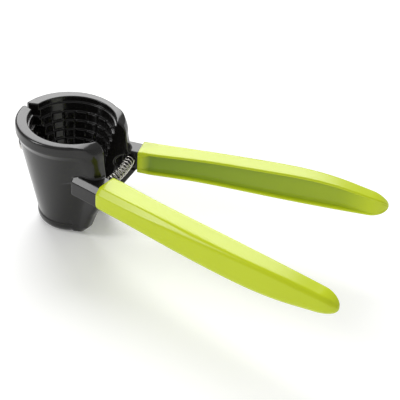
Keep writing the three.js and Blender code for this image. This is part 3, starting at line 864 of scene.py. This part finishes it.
def add_spring():
    """A round wire coiled about an arc around the hinge, the line both of its seats travel on."""
    spring_x = SLEEVE_START - SPRING_FROM_SLEEVE
    arc_radius = math.hypot(spring_x - HINGE_X, SPRING_SEAT)
    seat = SPRING_SEAT - FIT_GAP - SPRING_WIRE / 2
    half_angle = half_open + math.asin(seat / arc_radius)
    coil = SPRING_RADIUS - SPRING_WIRE / 2
    steps = SPRING_COILS * STEPS_PER_COIL
    t = np.linspace(0, 1, steps + 1)
    turn = 2 * math.pi * SPRING_COILS * t
    bend = half_angle * (2 * t - 1)
    reach = arc_radius + coil * np.cos(turn)
    heights = SPRING_HEIGHT + coil * np.sin(turn)
    line = np.stack([reach * np.cos(bend), reach * np.sin(bend), heights], axis=1)
    along = np.gradient(line, axis=0)
    along /= np.linalg.norm(along, axis=1)[:, None]
    middle_heights = np.full_like(bend, SPRING_HEIGHT)
    centre = np.stack([arc_radius * np.cos(bend), arc_radius * np.sin(bend), middle_heights], axis=1)
    out = line - centre
    out -= (out * along).sum(1)[:, None] * along
    out /= np.linalg.norm(out, axis=1)[:, None]
    across = np.cross(along, out)
    angles = np.linspace(0, 2 * math.pi, WIRE_SIDES, endpoint=False)
    wire = SPRING_WIRE / 2
    cosines, sines = np.cos(angles)[None, :, None], np.sin(angles)[None, :, None]
    rings = line[:, None] + wire * (cosines * out[:, None] + sines * across[:, None])
    crown = wire * END_CROWN
    points = np.vstack([rings.reshape(-1, 3), line[:1] - along[:1] * crown, line[-1:] + along[-1:] * crown])
    faces = []
    for r in range(steps):
        for i in range(WIRE_SIDES):
            a, b = r * WIRE_SIDES + i, r * WIRE_SIDES + (i + 1) % WIRE_SIDES
            faces.append((a, b, b + WIRE_SIDES, a + WIRE_SIDES))
    start, end = len(points) - 2, len(points) - 1
    for i in range(WIRE_SIDES):
        faces.append(((i + 1) % WIRE_SIDES, i, start))
        faces.append((steps * WIRE_SIDES + i, steps * WIRE_SIDES + (i + 1) % WIRE_SIDES, end))
    points = points * MM + np.array([hinge.x, hinge.y, 0])
    spring = add_mesh("coil_spring", points, faces, [wire_steel])
    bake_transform(spring)
    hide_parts("return_spring")


add_spring()

for node, material in (
    ("hinge_pin", turned_steel),
    ("head_washer", turned_steel),
    ("lower_thrust_washer", nylon),
    ("upper_thrust_washer", nylon),
):
    frame["nodes"][node].data.materials.clear()
    frame["nodes"][node].data.materials.append(material)


# ---------------------------------------------------------------- floor, light and camera
FLOOR_REACH = 6.0
FLOOR_GLOW = 0.14
WORLD_GLOW = 0.52
CAMERA_AZIMUTH = 21.33
CAMERA_ELEVATION = 37.29
CAMERA_ROLL = 5.77
CAMERA_DISTANCE = 400.14
CAMERA_LENS = 77.62
CAMERA_TARGET = (65.77, 6.47, 30)
SENSOR_WIDTH = 36


def add_floor():
    material, nodes, links, shader = new_material("pale_floor")
    shader.inputs["Base Color"].default_value = FLOOR_WHITE
    shader.inputs["Roughness"].default_value = 0.7
    shader.inputs["Specular IOR Level"].default_value = 0.2
    shader.inputs["Emission Color"].default_value = PURE_WHITE
    shader.inputs["Emission Strength"].default_value = FLOOR_GLOW
    points = [(x * FLOOR_REACH, y * FLOOR_REACH, 0) for x, y in ((-1, -1), (1, -1), (1, 1), (-1, 1))]
    floor = add_mesh("floor", points, [(0, 1, 2, 3)], [material], smooth=False)


def add_light(name, place, target, size, power):
    lamp = bpy.data.lights.new(name, "AREA")
    lamp.shape = "RECTANGLE"
    lamp.size, lamp.size_y = size
    lamp.energy = power
    light = bpy.data.objects.new(name, lamp)
    light.location = place
    light.rotation_euler = (Vector(target) - Vector(place)).to_track_quat("-Z", "Y").to_euler()
    bpy.context.scene.collection.objects.link(light)


def add_sun(name, azimuth, elevation, angle, strength):
    """A broad, even light from one direction, its azimuth counted as the camera's is."""
    lamp = bpy.data.lights.new(name, "SUN")
    lamp.energy = strength
    lamp.angle = math.radians(angle)
    light = bpy.data.objects.new(name, lamp)
    a, e = math.radians(azimuth), math.radians(elevation)
    toward = Vector((math.sin(a) * math.cos(e), -math.cos(a) * math.cos(e), math.sin(e)))
    light.rotation_euler = toward.to_track_quat("Z", "Y").to_euler()
    bpy.context.scene.collection.objects.link(light)


def add_camera():
    """The camera looks down on the open tool from the near side, turned a little on its own axis."""
    azimuth, elevation = math.radians(CAMERA_AZIMUTH), math.radians(CAMERA_ELEVATION)
    roll = math.radians(CAMERA_ROLL)
    cup_axis = Vector((hinge.x - HINGE_X * MM, 0, 0))
    target = cup_axis + Vector(CAMERA_TARGET) * MM
    back = Vector((math.sin(azimuth), -math.cos(azimuth), math.tan(elevation))).normalized()
    level = Vector((math.cos(azimuth), math.sin(azimuth), 0))
    right = level * math.cos(roll) + back.cross(level) * math.sin(roll)
    data = bpy.data.cameras.new("camera")
    data.lens = CAMERA_LENS
    data.sensor_width = SENSOR_WIDTH
    camera = bpy.data.objects.new("camera", data)
    turn = Matrix((right, back.cross(right), back)).transposed().to_4x4()
    camera.matrix_world = Matrix.Translation(target + back * CAMERA_DISTANCE * MM) @ turn
    bpy.context.scene.collection.objects.link(camera)
    bpy.context.scene.camera = camera


add_floor()
middle = (cad_box[0] + cad_box[1]) / 2
add_sun("back_light", azimuth=214, elevation=40, angle=46, strength=2.3)
add_light("front_left", place=(-0.53, -0.45, 0.49), target=middle, size=(0.2, 0.4), power=1.9)
add_camera()

world = bpy.data.worlds.new("studio")
bpy.context.scene.world = world
world.use_nodes = True
world.node_tree.nodes["Background"].inputs["Color"].default_value = PURE_WHITE
world.node_tree.nodes["Background"].inputs["Strength"].default_value = WORLD_GLOW
bpy.context.scene.view_settings.view_transform = "Standard"
